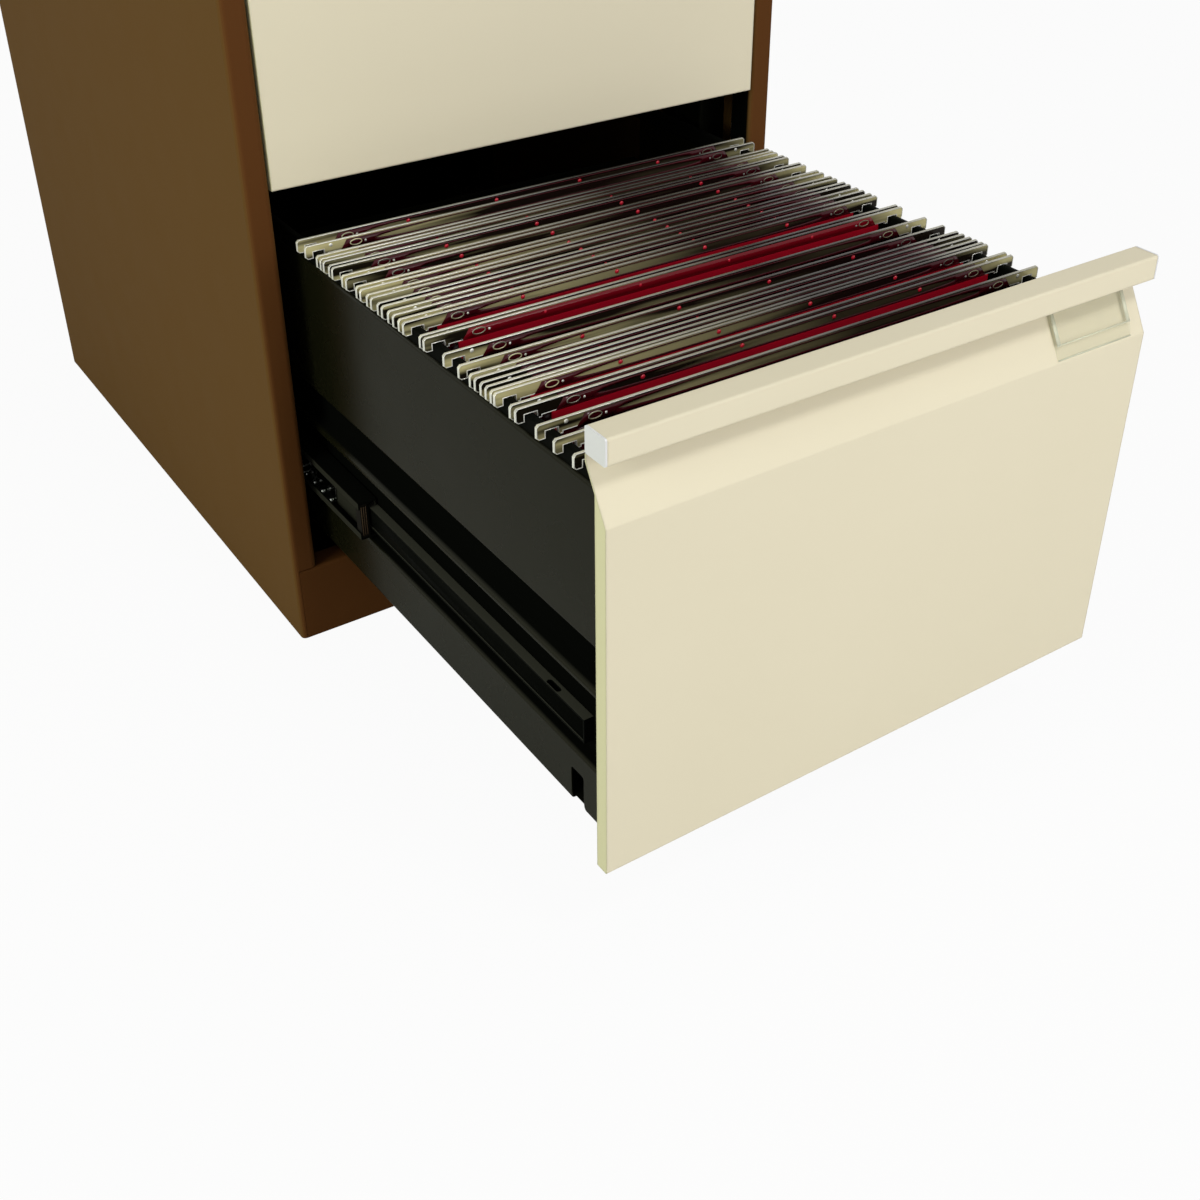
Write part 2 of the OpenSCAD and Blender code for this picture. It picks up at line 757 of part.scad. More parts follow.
// Hanging files
module bar_outline() {
    foot = notch_in - hook_foot;
    half = [
        [bar_half - hook_r, 0], [bar_half, -hook_r],
        [bar_half, hook_r - hook_h], [bar_half - hook_r, -hook_h],
        [notch_out, -hook_h], [notch_out, -bar_neck], [notch_in, -bar_neck], [notch_in, -hook_h],
        [foot, -hook_h], [foot, -bar_h]
    ];
    polygon(concat(half, reversed([for (p = half) [-p.x, p.y]])));
}
module file_bars(files) {
    color(steel) for (f = files, y = [f[0], f[0] + f[1]])
        translate([0, 0, bar_top]) along_y(y - bar_t / 2, y + bar_t / 2) bar_outline();
}
module file_pockets(files) {
    foot = wall_foot + 2 * drawer_sheet + pocket_clear;
    bend = pocket_top - pocket_straight;
    color(pocket_red) for (f = files, s = [-1, 1]) {
        middle = f[0] + f[1] / 2;
        hang = middle + s * f[1] / 2;
        line = [
            [hang, pocket_top], [hang, bend],
            [middle + s * pocket_floor / 2, foot], [middle + s * fit / 2, foot]
        ];
        along_x(-pocket_half, pocket_half) polygon(folded(line, pocket_t, tight_bend_r));
    }
}
module file_strips(files) {
    color(strip_red) for (f = files) {
        rear = f[0] + f[1] - pocket_t / 2 - fit;
        block([-strip_half, rear - strip_t, pocket_top - strip_h], [strip_half, rear, pocket_top]);
    }
}

left() side_panel();  // left_side_panel
side_panel();  // right_side_panel
back_panel();
top_panel();
plinth();
base_pan();
left() upright(front_upright_y);  // left_front_upright
upright(front_upright_y);  // right_front_upright
left() upright(rear_upright_y);  // left_rear_upright
upright(rear_upright_y);  // right_rear_upright
translate([0, 0, lower_z]) left() fixed_rail();  // lower_left_fixed_rail
translate([0, 0, lower_z]) fixed_rail();  // lower_right_fixed_rail
translate([0, 0, upper_z]) left() fixed_rail();  // upper_left_fixed_rail
translate([0, 0, upper_z]) fixed_rail();  // upper_right_fixed_rail
fixed_rail_screws();
lock_housing();
lock_barrel();
lock_crank();
locking_bar();
lower(lower_open) drawer_front();  // lower_front
lower(lower_open) front_liner();  // lower_front_liner
lower(lower_open) handle_caps();  // lower_handle_caps
lower(lower_open) label_holder();  // lower_label_holder
lower(lower_open) left() drawer_wall();  // lower_left_wall
lower(lower_open) drawer_wall();  // lower_right_wall
lower(lower_open) drawer_back();  // lower_drawer_back
lower(lower_open) drawer_base();  // lower_drawer_base
lower(lower_open) file_rails();  // lower_file_rails
lower(lower_open) left() drawer_rail();  // lower_left_drawer_rail
lower(lower_open) drawer_rail();  // lower_right_drawer_rail
lower(lower_open) drawer_rail_screws();  // lower_drawer_rail_screws
lower(middle_out(lower_open)) left() slide();  // lower_left_slide
lower(middle_out(lower_open)) slide();  // lower_right_slide
lower(middle_out(lower_open)) slide_bumpers();  // lower_slide_bumpers
lower(inner_cage_out(lower_open)) inner_ball_cages();  // lower_inner_ball_cages
lower(outer_cage_out(lower_open)) outer_ball_cages();  // lower_outer_ball_cages
upper(upper_open) drawer_front();  // upper_front
upper(upper_open) front_liner();  // upper_front_liner
upper(upper_open) handle_caps();  // upper_handle_caps
upper(upper_open) label_holder();  // upper_label_holder
upper(upper_open) left() drawer_wall();  // upper_left_wall
upper(upper_open) drawer_wall();  // upper_right_wall
upper(upper_open) drawer_back();  // upper_drawer_back
upper(upper_open) drawer_base();  // upper_drawer_base
upper(upper_open) file_rails();  // upper_file_rails
upper(upper_open) left() drawer_rail();  // upper_left_drawer_rail
upper(upper_open) drawer_rail();  // upper_right_drawer_rail
upper(upper_open) drawer_rail_screws();  // upper_drawer_rail_screws
upper(middle_out(upper_open)) left() slide();  // upper_left_slide
upper(middle_out(upper_open)) slide();  // upper_right_slide
upper(middle_out(upper_open)) slide_bumpers();  // upper_slide_bumpers
upper(inner_cage_out(upper_open)) inner_ball_cages();  // upper_inner_ball_cages
upper(outer_cage_out(upper_open)) outer_ball_cages();  // upper_outer_ball_cages
lower(lower_open) file_bars(front_files);  // front_file_bars
lower(lower_open) file_pockets(front_files);  // front_file_pockets
lower(lower_open) file_strips(front_files);  // front_file_strips
lower(lower_open) file_bars(rear_files);  // rear_file_bars
lower(lower_open) file_pockets(rear_files);  // rear_file_pockets
lower(lower_open) file_strips(rear_files);  // rear_file_strips
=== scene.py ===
"""Looks for the steel filing cabinet: finishes, small trim, light and camera."""

import json
import math

import bmesh
import bpy
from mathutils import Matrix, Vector


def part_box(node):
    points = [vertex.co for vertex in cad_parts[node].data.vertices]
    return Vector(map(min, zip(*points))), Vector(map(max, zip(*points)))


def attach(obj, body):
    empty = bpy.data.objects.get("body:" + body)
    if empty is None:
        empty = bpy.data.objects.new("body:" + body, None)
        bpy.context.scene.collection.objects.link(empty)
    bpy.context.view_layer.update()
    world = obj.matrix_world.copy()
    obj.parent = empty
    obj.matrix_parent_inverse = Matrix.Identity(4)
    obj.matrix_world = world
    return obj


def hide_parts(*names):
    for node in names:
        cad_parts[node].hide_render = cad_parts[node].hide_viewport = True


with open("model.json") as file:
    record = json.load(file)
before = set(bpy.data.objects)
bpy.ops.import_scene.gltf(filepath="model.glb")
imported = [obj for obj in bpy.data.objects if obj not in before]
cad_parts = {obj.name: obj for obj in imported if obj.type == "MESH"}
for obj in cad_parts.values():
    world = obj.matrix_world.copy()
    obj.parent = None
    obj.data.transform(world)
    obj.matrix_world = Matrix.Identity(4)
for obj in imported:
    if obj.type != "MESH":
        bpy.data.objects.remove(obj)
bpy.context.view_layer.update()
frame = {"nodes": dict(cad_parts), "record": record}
nodes = frame["nodes"]

MM = 0.001

# Where the lower drawer's front, the walls' outer faces and the carcass's side, front and back stand
DRAWER_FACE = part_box("lower_front")[0].y
WALL_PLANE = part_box("lower_right_wall")[1].x
SIDE_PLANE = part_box("right_side_panel")[1].x
CARCASS_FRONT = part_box("right_side_panel")[0].y
CARCASS_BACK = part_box("back_panel")[1].y

# The hanging files behind the drawer's face, in mm: place of the front bar, and opening
FILES = {
    "front": ((48, 20), (87, 23), (116, 18), (138, 6), (150, 7), (163, 14), (196, 26)),
    "rear": (
        (227, 23), (256, 8), (271, 9), (286, 10), (302, 10),
        (318, 16), (340, 16), (361, 9), (375, 6), (401, 14),
    ),
}

# File bar sizes in mm, as in the part's source
BAR_THICK = 1.6
BAR_TALL = 8.5
BAR_NECK = 4.5
HOOK_WIDE = 5.5
HOOK_TALL = 10.0
HOOK_NOTCH = 9.0
HOOK_FOOT = 3.0
HOOK_ROUND = 1.5


# Colours and material nodes

def linear(code):
    """An sRGB hex code as the linear colour that a shader takes."""
    parts = [int(code[i:i + 2], 16) / 255 for i in (1, 3, 5)]
    return [p / 12.92 if p <= 0.04045 else ((p + 0.055) / 1.055) ** 2.4 for p in parts] + [1.0]


def add(tree, kind, inputs=None, **settings):
    """Adds a node with its settings; an input is a value or another node's output."""
    made = tree.nodes.new(kind)
    for name, value in settings.items():
        setattr(made, name, value)
    for name, value in (inputs or {}).items():
        if isinstance(value, bpy.types.NodeSocket):
            tree.links.new(value, made.inputs[name])
        else:
            made.inputs[name].default_value = value
    return made


def start(name, **fixed):
    """A new material, with the values that are the same all over it set on its shader."""
    made = bpy.data.materials.new(name)
    made.use_nodes = True
    tree = made.node_tree
    shader = tree.nodes["Principled BSDF"]
    for socket, value in fixed.items():
        shader.inputs[socket.replace("_", " ")].default_value = value
    place = add(tree, "ShaderNodeTexCoord").outputs["Object"]
    return made, tree, shader, place


def per_metre(size_mm):
    """Noise scale that gives features of about this size."""
    return 1000.0 / size_mm


def link(tree, source, shader, name):
    """Feeds one input of a shader from another node's output."""
    tree.links.new(source, shader.inputs[name])


# Finishes

def stoved_enamel(name, colour, shade, rough, sheen, tint="#FFFFFF", edge_mm=0.8):
    """Stoved enamel sprayed on folded sheet steel: even colour, low gloss, faint orange peel."""
    made, tree, shader, place = start(name, Specular_IOR_Level=sheen, Specular_Tint=linear(tint))
    cloud_mm = 180
    smear_mm = 45
    # The peel is about 1.5 mm across in real paint, drawn at 3 mm so that it shows
    peel_mm = 3
    peel_depth = 0.08
    spread = 0.06
    cloud = add(tree, "ShaderNodeTexNoise", {"Vector": place, "Scale": per_metre(cloud_mm), "Detail": 3.0})
    tone = add(tree, "ShaderNodeMixRGB", {
        "Fac": cloud.outputs["Fac"], "Color1": linear(colour), "Color2": linear(shade)})
    link(tree, tone.outputs["Color"], shader, "Base Color")
    smear = add(tree, "ShaderNodeTexNoise", {"Vector": place, "Scale": per_metre(smear_mm), "Detail": 4.0})
    gloss = add(tree, "ShaderNodeMapRange", {
        "Value": smear.outputs["Fac"], "To Min": rough - spread, "To Max": rough + spread})
    link(tree, gloss.outputs["Result"], shader, "Roughness")
    skin = add(tree, "ShaderNodeTexNoise", {"Vector": place, "Scale": per_metre(peel_mm), "Detail": 2.0})
    edge = add(tree, "ShaderNodeBevel", {"Radius": edge_mm * MM}, samples=4)
    bump = add(tree, "ShaderNodeBump", {
        "Height": skin.outputs["Fac"], "Strength": 0.1, "Distance": peel_depth * MM,
        "Normal": edge.outputs["Normal"]})
    link(tree, bump.outputs["Normal"], shader, "Normal")
    return made


# Where the enamel gives way to near-black painted shade on recesses and inner faces, in mm behind the outer
# side, front and back
SHADE_SIDE = (0.7, 2.5)
SHADE_FRONT = (3.0, 5.0)
SHADE_BACK = 0.5
PAINTED_SHADE = "#080907"


def coat_of(made):
    """The nodes of a finish, its shader, and the colour that feeds the shader."""
    tree = made.node_tree
    shader = tree.nodes["Principled BSDF"]
    return tree, shader, shader.inputs["Base Color"].links[0].from_socket


def painted_shade_inside(made, side, front, back):
    """Recesses and inner faces take a near-black painted shade without sheen, in place of the enamel."""
    tree, shader, coat = coat_of(made)
    place = add(tree, "ShaderNodeTexCoord").outputs["Object"]
    apart = add(tree, "ShaderNodeSeparateXYZ", {"Vector": place})
    out = add(tree, "ShaderNodeMath", {0: apart.outputs["X"]}, operation="ABSOLUTE")
    outer = add(tree, "ShaderNodeMapRange", {
        "Value": out.outputs[0], "From Min": side - SHADE_SIDE[1] * MM, "From Max": side - SHADE_SIDE[0] * MM})
    fore = add(tree, "ShaderNodeMapRange", {
        "Value": apart.outputs["Y"], "From Min": front + SHADE_FRONT[0] * MM,
        "From Max": front + SHADE_FRONT[1] * MM, "To Min": 1.0, "To Max": 0.0})
    aft = add(tree, "ShaderNodeMath", {
        0: apart.outputs["Y"], 1: back - SHADE_BACK * MM}, operation="GREATER_THAN")
    ends = add(tree, "ShaderNodeMath", {
        0: fore.outputs["Result"], 1: aft.outputs[0]}, operation="MAXIMUM")
    share = add(tree, "ShaderNodeMath", {
        0: outer.outputs["Result"], 1: ends.outputs[0]}, operation="MAXIMUM").outputs[0]
    tone = add(tree, "ShaderNodeMixRGB", {"Fac": share, "Color1": linear(PAINTED_SHADE), "Color2": coat})
    link(tree, tone.outputs["Color"], shader, "Base Color")
    sheen = shader.inputs["Specular IOR Level"].default_value
    shine = add(tree, "ShaderNodeMapRange", {"Value": share, "To Min": 0.0, "To Max": sheen})
    link(tree, shine.outputs["Result"], shader, "Specular IOR Level")
    return made


# Where painted shade darkens a bar along X and where it lifts again, in mm, and how strong it is there
SHADE_SPAN = (-190, 40)
SHADE_LIFT_SPAN = (145, 190)
SHADE_DEEPEST = 0.95
SHADE_FAR_END = 0.3


def painted_shade_to_the_right(tree, place, tone, right_shade):
    """A tone that goes over to a dark painted shade along +X and comes back at the far end."""
    apart = add(tree, "ShaderNodeSeparateXYZ", {"Vector": place})
    rise = add(tree, "ShaderNodeMapRange", {
        "Value": apart.outputs["X"], "From Min": SHADE_SPAN[0] * MM, "From Max": SHADE_SPAN[1] * MM,
        "To Max": SHADE_DEEPEST})
    fall = add(tree, "ShaderNodeMapRange", {
        "Value": apart.outputs["X"], "From Min": SHADE_LIFT_SPAN[0] * MM, "From Max": SHADE_LIFT_SPAN[1] * MM,
        "To Min": SHADE_DEEPEST, "To Max": SHADE_FAR_END})
    share = add(tree, "ShaderNodeMath", {
        0: rise.outputs["Result"], 1: fall.outputs["Result"]}, operation="MINIMUM")
    return add(tree, "ShaderNodeMixRGB", {
        "Fac": share.outputs[0], "Color1": tone, "Color2": linear(right_shade)}).outputs["Color"]


# How squarely a face looks along an axis when it begins to take that axis's tone, and when it has it
FACE_TILT = (0.45, 0.95)


def painted_light_by_facing(tree, tone, edges):
    """A tone that differs on faces that look along X or Z: light and shade painted by which way a face looks.
    """
    normal = add(tree, "ShaderNodeNewGeometry").outputs["Normal"]
    apart = add(tree, "ShaderNodeSeparateXYZ", {"Vector": normal})
    for axis, colour in edges.items():
        tilt = add(tree, "ShaderNodeMath", {0: apart.outputs[axis]}, operation="ABSOLUTE")
        share = add(tree, "ShaderNodeMapRange", {
            "Value": tilt.outputs[0], "From Min": FACE_TILT[0], "From Max": FACE_TILT[1]})
        tone = add(tree, "ShaderNodeMixRGB", {
            "Fac": share.outputs["Result"], "Color1": tone, "Color2": linear(colour)}).outputs["Color"]
    return tone


def rolled_metal(name, colour, shade, rough, metal=1.0, stain_and_shade_mm=25, run=0.15,
                 stain_and_shade_span=(0.35, 0.65), edges=None, right_shade=None):
    """Plated strip steel: fine rolling lines along its length, and stains that run the same way; on the file
    bars they are strong enough to paint shade and reflections between the bars.
    """
    grain_mm = 0.6
    grain_run = 0.02
    grain_depth = 0.03
    edge_mm = 0.3
    spread = 0.08
    made, tree, shader, place = start(name, Metallic=metal, Specular_IOR_Level=0.2)
    along = add(tree, "ShaderNodeMapping", {"Vector": place, "Scale": (grain_run, 1.0, 1.0)})
    lines = add(tree, "ShaderNodeTexNoise", {
        "Vector": along.outputs["Vector"], "Scale": per_metre(grain_mm), "Detail": 3.0})
    streak = add(tree, "ShaderNodeMapping", {"Vector": place, "Scale": (run, 1.0, 1.0)})
    stain_and_shade = add(tree, "ShaderNodeTexNoise", {
        "Vector": streak.outputs["Vector"], "Scale": per_metre(stain_and_shade_mm), "Detail": 3.0})
    depth = add(tree, "ShaderNodeMapRange", {
        "Value": stain_and_shade.outputs["Fac"], "From Min": stain_and_shade_span[0], "From Max": stain_and_shade_span[1]})
    tone = add(tree, "ShaderNodeMixRGB", {
        "Fac": depth.outputs["Result"], "Color1": linear(colour), "Color2": linear(shade)}).outputs["Color"]
    # Light and shade painted by which way a face looks.
    if edges:
        tone = painted_light_by_facing(tree, tone, edges)
    # Painted shade that darkens the tone along +X.
    if right_shade:
        tone = painted_shade_to_the_right(tree, place, tone, right_shade)
    link(tree, tone, shader, "Base Color")
    gloss = add(tree, "ShaderNodeMapRange", {
        "Value": lines.outputs["Fac"], "To Min": rough - spread, "To Max": rough + spread})
    link(tree, gloss.outputs["Result"], shader, "Roughness")
    edge = add(tree, "ShaderNodeBevel", {"Radius": edge_mm * MM}, samples=4)
    bump = add(tree, "ShaderNodeBump", {
        "Height": lines.outputs["Fac"], "Strength": 0.08, "Distance": grain_depth * MM,
        "Normal": edge.outputs["Normal"]})
    link(tree, bump.outputs["Normal"], shader, "Normal")
    return made


def enamel_facing_light(made, edges):
    """Enamel with another tone, as painted light and shade, on the faces that look along X or along Z."""
    tree, shader, coat = coat_of(made)
    link(tree, painted_light_by_facing(tree, coat, edges), shader, "Base Color")
    return made


PLASTIC_IOR = 1.49


def moulded_plastic(name, colour, shade, rough, opaque=1.0, sheen=0.5):
    """Moulded or extruded plastic: smooth colour, fine moulded texture."""
    cloud_mm = 30
    grain_mm = 1.5
    grain_depth = 0.05
    spread = 0.05
    made, tree, shader, place = start(name, IOR=PLASTIC_IOR, Alpha=opaque, Specular_IOR_Level=sheen)
    cloud = add(tree, "ShaderNodeTexNoise", {"Vector": place, "Scale": per_metre(cloud_mm), "Detail": 3.0})
    tone = add(tree, "ShaderNodeMixRGB", {
        "Fac": cloud.outputs["Fac"], "Color1": linear(colour), "Color2": linear(shade)})
    link(tree, tone.outputs["Color"], shader, "Base Color")
    grain = add(tree, "ShaderNodeTexNoise", {"Vector": place, "Scale": per_metre(grain_mm), "Detail": 2.0})
    gloss = add(tree, "ShaderNodeMapRange", {
        "Value": grain.outputs["Fac"], "To Min": rough - spread, "To Max": rough + spread})
    link(tree, gloss.outputs["Result"], shader, "Roughness")
    bump = add(tree, "ShaderNodeBump", {
        "Height": grain.outputs["Fac"], "Strength": 0.08, "Distance": grain_depth * MM})
    link(tree, bump.outputs["Normal"], shader, "Normal")
    return made


def plastic_film(name, colour, shade, clear):
    """Thin dyed polypropylene film: glossy, partly see-through, with soft flow marks."""
    marks_mm = 18
    marks_run = 0.25
    marks_depth = 0.5
    smoothest = 0.08
    roughest = 0.24
    made, tree, shader, place = start(
        name, IOR=PLASTIC_IOR, Transmission_Weight=clear, Specular_IOR_Level=0.15)
    flow = add(tree, "ShaderNodeMapping", {"Vector": place, "Scale": (marks_run, 1.0, 1.0)})
    marks = add(tree, "ShaderNodeTexNoise", {
        "Vector": flow.outputs["Vector"], "Scale": per_metre(marks_mm), "Detail": 3.0})
    tone = add(tree, "ShaderNodeMixRGB", {
        "Fac": marks.outputs["Fac"], "Color1": linear(colour), "Color2": linear(shade)})
    link(tree, tone.outputs["Color"], shader, "Base Color")
    gloss = add(tree, "ShaderNodeMapRange", {
        "Value": marks.outputs["Fac"], "To Min": smoothest, "To Max": roughest})
    link(tree, gloss.outputs["Result"], shader, "Roughness")
    bump = add(tree, "ShaderNodeBump", {
        "Height": marks.outputs["Fac"], "Strength": 0.2, "Distance": marks_depth * MM})
    link(tree, bump.outputs["Normal"], shader, "Normal")
    return made


OLIVE_SHEEN = "#FFFFD6"
brown_enamel = stoved_enamel("brown_stoved_enamel", "#5C391C", "#58361A", 0.5, 0.016)
# The carcass panels: an olive painted reflection on their side faces, and near-black painted shade on their
# inner faces.
panel_enamel = painted_shade_inside(
    enamel_facing_light(stoved_enamel("brown_panel_enamel", "#5C391C", "#58361A", 0.5, 0.016), {"X": "#634825"}),
    SIDE_PLANE, CARCASS_FRONT, CARCASS_BACK)
# The cream fronts: a greener painted shade on their side folds.
cream_enamel = enamel_facing_light(
    stoved_enamel("cream_stoved_enamel", "#E6DDC4", "#E2D9BF", 0.45, 0.09, edge_mm=2.0), {"X": "#DEDAB2"})
charcoal_enamel = stoved_enamel("charcoal_stoved_enamel", "#12130D", "#0E0F0B", 0.4, 0.04, OLIVE_SHEEN)
# The drawer walls: near-black painted shade in the pressed groove, the slide recess and on inner faces.
wall_enamel = painted_shade_inside(
    stoved_enamel("charcoal_wall_enamel", "#131308", "#111107", 0.27, 0.125, OLIVE_SHEEN),
    WALL_PLANE, DRAWER_FACE, CARCASS_BACK)
# The drawer rails: black, with a painted light tone on their top and bottom faces.
rail_enamel = enamel_facing_light(
    stoved_enamel("rail_enamel_painted_top_light", "#0D0E0B", "#0A0B09", 0.45, 0.01), {"Z": "#45453C"})
# The slides: black, with a painted light tone on their side faces.
slide_enamel = enamel_facing_light(
    stoved_enamel("slide_enamel_painted_side_light", "#0D0E0B", "#0A0B09", 0.45, 0.01), {"X": "#2A2A23"})
black_enamel = stoved_enamel("black_stoved_enamel", "#0D0E0B", "#0A0B09", 0.4, 0.008)
zinc_plate = rolled_metal("bright_zinc_plated_steel", "#C4C6C2", "#A9ABA6", 0.28)
ball_steel = rolled_metal("bearing_steel", "#8A8C88", "#70726E", 0.16)
black_screw = rolled_metal("blackened_screw_steel", "#1C1C1A", "#121211", 0.4)
# The file bars: their strong pale and dark stains paint the shade and reflections between bars, their ends
# and top edges are painted near white as highlights, and painted shade darkens them towards the right.
bar_steel = rolled_metal(
    "yellow_passivated_strip_steel", "#E4DAA2", "#1E1A12", 0.24, metal=0.2, stain_and_shade_mm=14, run=0.05,
    stain_and_shade_span=(0.42, 0.54), edges={"X": "#F4F3EC", "Z": "#D2CFBC"}, right_shade="#1C100D")
# Near-white steel paints the highlights on the bar rims and the glints on the sleeve pins and rivets; painted
# shade darkens it towards the right.
highlight_steel = rolled_metal(
    "edge_steel_painted_highlight", "#FAF9F4", "#E6E4DA", 0.25, metal=0.3, right_shade="#34302A")
cap_plastic = moulded_plastic("pale_polypropylene", "#E6E6E8", "#DFDFE1", 0.45)
bumper_plastic = moulded_plastic("dark_nylon", "#16140F", "#100E0B", 0.5, sheen=0.05)
# The bumper ribs are lighter than the bumper, as painted highlights along them.
rib_plastic = moulded_plastic("rib_nylon_painted_highlight", "#4C3D2E", "#3A2E23", 0.5, sheen=0.05)
clear_plastic = moulded_plastic("clear_styrene", "#E6E4CA", "#DEDDC0", 0.12, opaque=0.16)
# The edge styrene is paler and half opaque, to paint the light lines along the label holder's ends, fold and
# bottom edge.
styrene_edge = moulded_plastic("clear_styrene_edge", "#EBEDDA", "#E0E4CA", 0.2, opaque=0.5)
strip_plastic = moulded_plastic("red_index_plastic", "#B80E27", "#A50C22", 0.3)
stud_plastic = moulded_plastic("red_stud_plastic", "#CC1D34", "#B0142A", 0.25)
pocket_film = plastic_film("dark_red_film", "#540B18", "#2C070E", 0.2)
bright_film = plastic_film("bright_red_film", "#86081A", "#6C0614", 0.2)

SLOT_FINISH = {
    "brown_paint": brown_enamel,
    "cream_paint": cream_enamel,
    "charcoal_paint": charcoal_enamel,
    "black_paint": black_enamel,
    "zinc_steel": zinc_plate,
    "bar_steel": bar_steel,
    "cap_plastic": cap_plastic,
    "clear_plastic": clear_plastic,
    "bumper_plastic": bumper_plastic,
    "red_film": pocket_film,
    "red_plastic": strip_plastic,
}
# Pieces whose finish differs from the rest of their slot, by the end of the node's name
OWN_FINISH = {
    "_side_panel": panel_enamel,
    "back_panel": panel_enamel,
    "_wall": wall_enamel,
    "_drawer_rail": rail_enamel,
    "_slide": slide_enamel,
    "_ball_cages": ball_steel,
    "_drawer_rail_screws": black_screw,
}
for entry in frame["record"]["subparts"]:
    finish = SLOT_FINISH[entry["material_slot"]]
    for ending, other in OWN_FINISH.items():
        if entry["node"].endswith(ending):
            finish = other
    mesh = nodes[entry["node"]].data
    mesh.materials.clear()
    mesh.materials.append(finish)


# Pieces

def piece(name, bm, finish, body):
    """A finished mesh as a piece that rides on a body."""
    bmesh.ops.recalc_face_normals(bm, faces=bm.faces)
    mesh = bpy.data.meshes.new(name)
    bm.to_mesh(mesh)
    bm.free()
    mesh.polygons.foreach_set("use_smooth", [True] * len(mesh.polygons))
    mesh.materials.append(finish)
    made = bpy.data.objects.new(name, mesh)
    bpy.context.scene.collection.objects.link(made)
    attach(made, body)
    return made


def thicken(made, thick_mm):
    """Gives a sheet its thickness, half to each side."""
    skin = made.modifiers.new("thickness", "SOLIDIFY")
    skin.thickness = thick_mm * MM
    skin.offset = 0.0


def bar_places(group):
    """The y of the front and rear bar of each file, in metres."""
    return [(DRAWER_FACE + a * MM, DRAWER_FACE + (a + gap) * MM) for a, gap in FILES[group]]


def bar_top(group):
    """The height of the bars' upper edge."""
    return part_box(f"{group}_file_bars")[1].z


def quads(bm, rows, close=False):
    """Faces between neighbouring rows of points; closed rows join their last point to their first."""
    for here, there in zip(rows, rows[1:]):
        last = len(here) if close else len(here) - 1
        for k in range(last):
            n = (k + 1) % len(here)
            bm.faces.new((here[k], here[n], there[n], there[k]))


def bar_outline(group):
    """The outline of a file bar in x and z, once round, in metres."""
    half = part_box(f"{group}_file_bars")[1].x / MM
    out = half - HOOK_WIDE
    inner = out - HOOK_NOTCH
    foot = inner - HOOK_FOOT
    side = [
        (half - HOOK_ROUND, 0), (half, -HOOK_ROUND), (half, HOOK_ROUND - HOOK_TALL),
        (half - HOOK_ROUND, -HOOK_TALL), (out, -HOOK_TALL), (out, -BAR_NECK), (inner, -BAR_NECK),
        (inner, -HOOK_TALL), (foot, -HOOK_TALL), (foot, -BAR_TALL),
    ]
    around = side + [(-x, z) for x, z in reversed(side)]
    return [(x * MM, bar_top(group) + z * MM) for x, z in around]


def wire_loop(bm, path, radius):
    """A closed wire along a path of points in one plane of constant y; sharp corners stretch only so far."""
    sides = 6
    sharpest = 0.4
    count = len(path)
    across = Vector((0, 1, 0))
    rings = []
    for i, point in enumerate(path):
        before = (point - path[i - 1]).normalized()
        after = (path[(i + 1) % count] - point).normalized()
        up = across.cross((before + after).normalized()).normalized()
        stretch = 1.0 / max(sharpest, up.dot(across.cross(before).normalized()))
        ring = []
        for k in range(sides):
            turn = 2 * math.pi * k / sides
            spoke = math.cos(turn) * across + stretch * math.sin(turn) * up
            ring.append(bm.verts.new(point + radius * spoke))
        rings.append(ring)
    quads(bm, rings + rings[:1], close=True)


def dome(bm, centre, radius, height):
    """A flat-backed dome on a face that looks towards the front."""
    sides = 12
    rings = 3
    rows = []
    for j in range(rings):
        tilt = math.pi / 2 * j / rings
        r = radius * math.cos(tilt)
        y = centre.y - height * math.sin(tilt)
        row = []
        for k in range(sides):
            turn = 2 * math.pi * k / sides
            row.append(bm.verts.new((centre.x + r * math.cos(turn), y, centre.z + r * math.sin(turn))))
        rows.append(row)
    quads(bm, rows, close=True)
    tip = bm.verts.new((centre.x, centre.y - height, centre.z))
    for k in range(sides):
        bm.faces.new((rows[-1][k], rows[-1][(k + 1) % sides], tip))
    bm.faces.new(list(reversed(rows[0])))


RIM_RADIUS = 0.32 * MM


def add_bar_rims(group):
    """The rolled rim round the front face of each bar, in near-white steel as a painted highlight."""
    bm = bmesh.new()
    outline = bar_outline(group)
    middle = bar_top(group) - HOOK_TALL / 2 * MM
    for pair in bar_places(group):
        for y in pair:
            face = y - BAR_THICK / 2 * MM
            path = []
            for x, z in outline:
                inward = math.copysign(RIM_RADIUS, x)
                down = math.copysign(RIM_RADIUS, z - middle)
                path.append(Vector((x - inward, face, z - down)))
            wire_loop(bm, path, RIM_RADIUS)
    piece(f"{group}_bar_rims", bm, highlight_steel, f"{group}_files")


# The film sleeve round each bar, in mm along the bar and down from its top
SLEEVE_TOP = 1.2
SLEEVE_FOOT = 9.4
SLEEVE_END = 177.0
SLEEVE_SLANT = 6.0
SLEEVE_OUT = 0.3
SLEEVE_SWELL = 0.45
SLEEVE_THICK = 0.25
WINDOW_END = 150.0
WINDOW_MIDDLE = 4.5
WINDOW_HALF = 2.6
WIDEST_FILE = 26


def window_half(x):
    """Half the height of a sleeve's long window, which runs out to a point at both ends."""
    along = min(abs(x) / WINDOW_END, 1.0)
    return WINDOW_HALF * math.sqrt(1.0 - along ** 4)


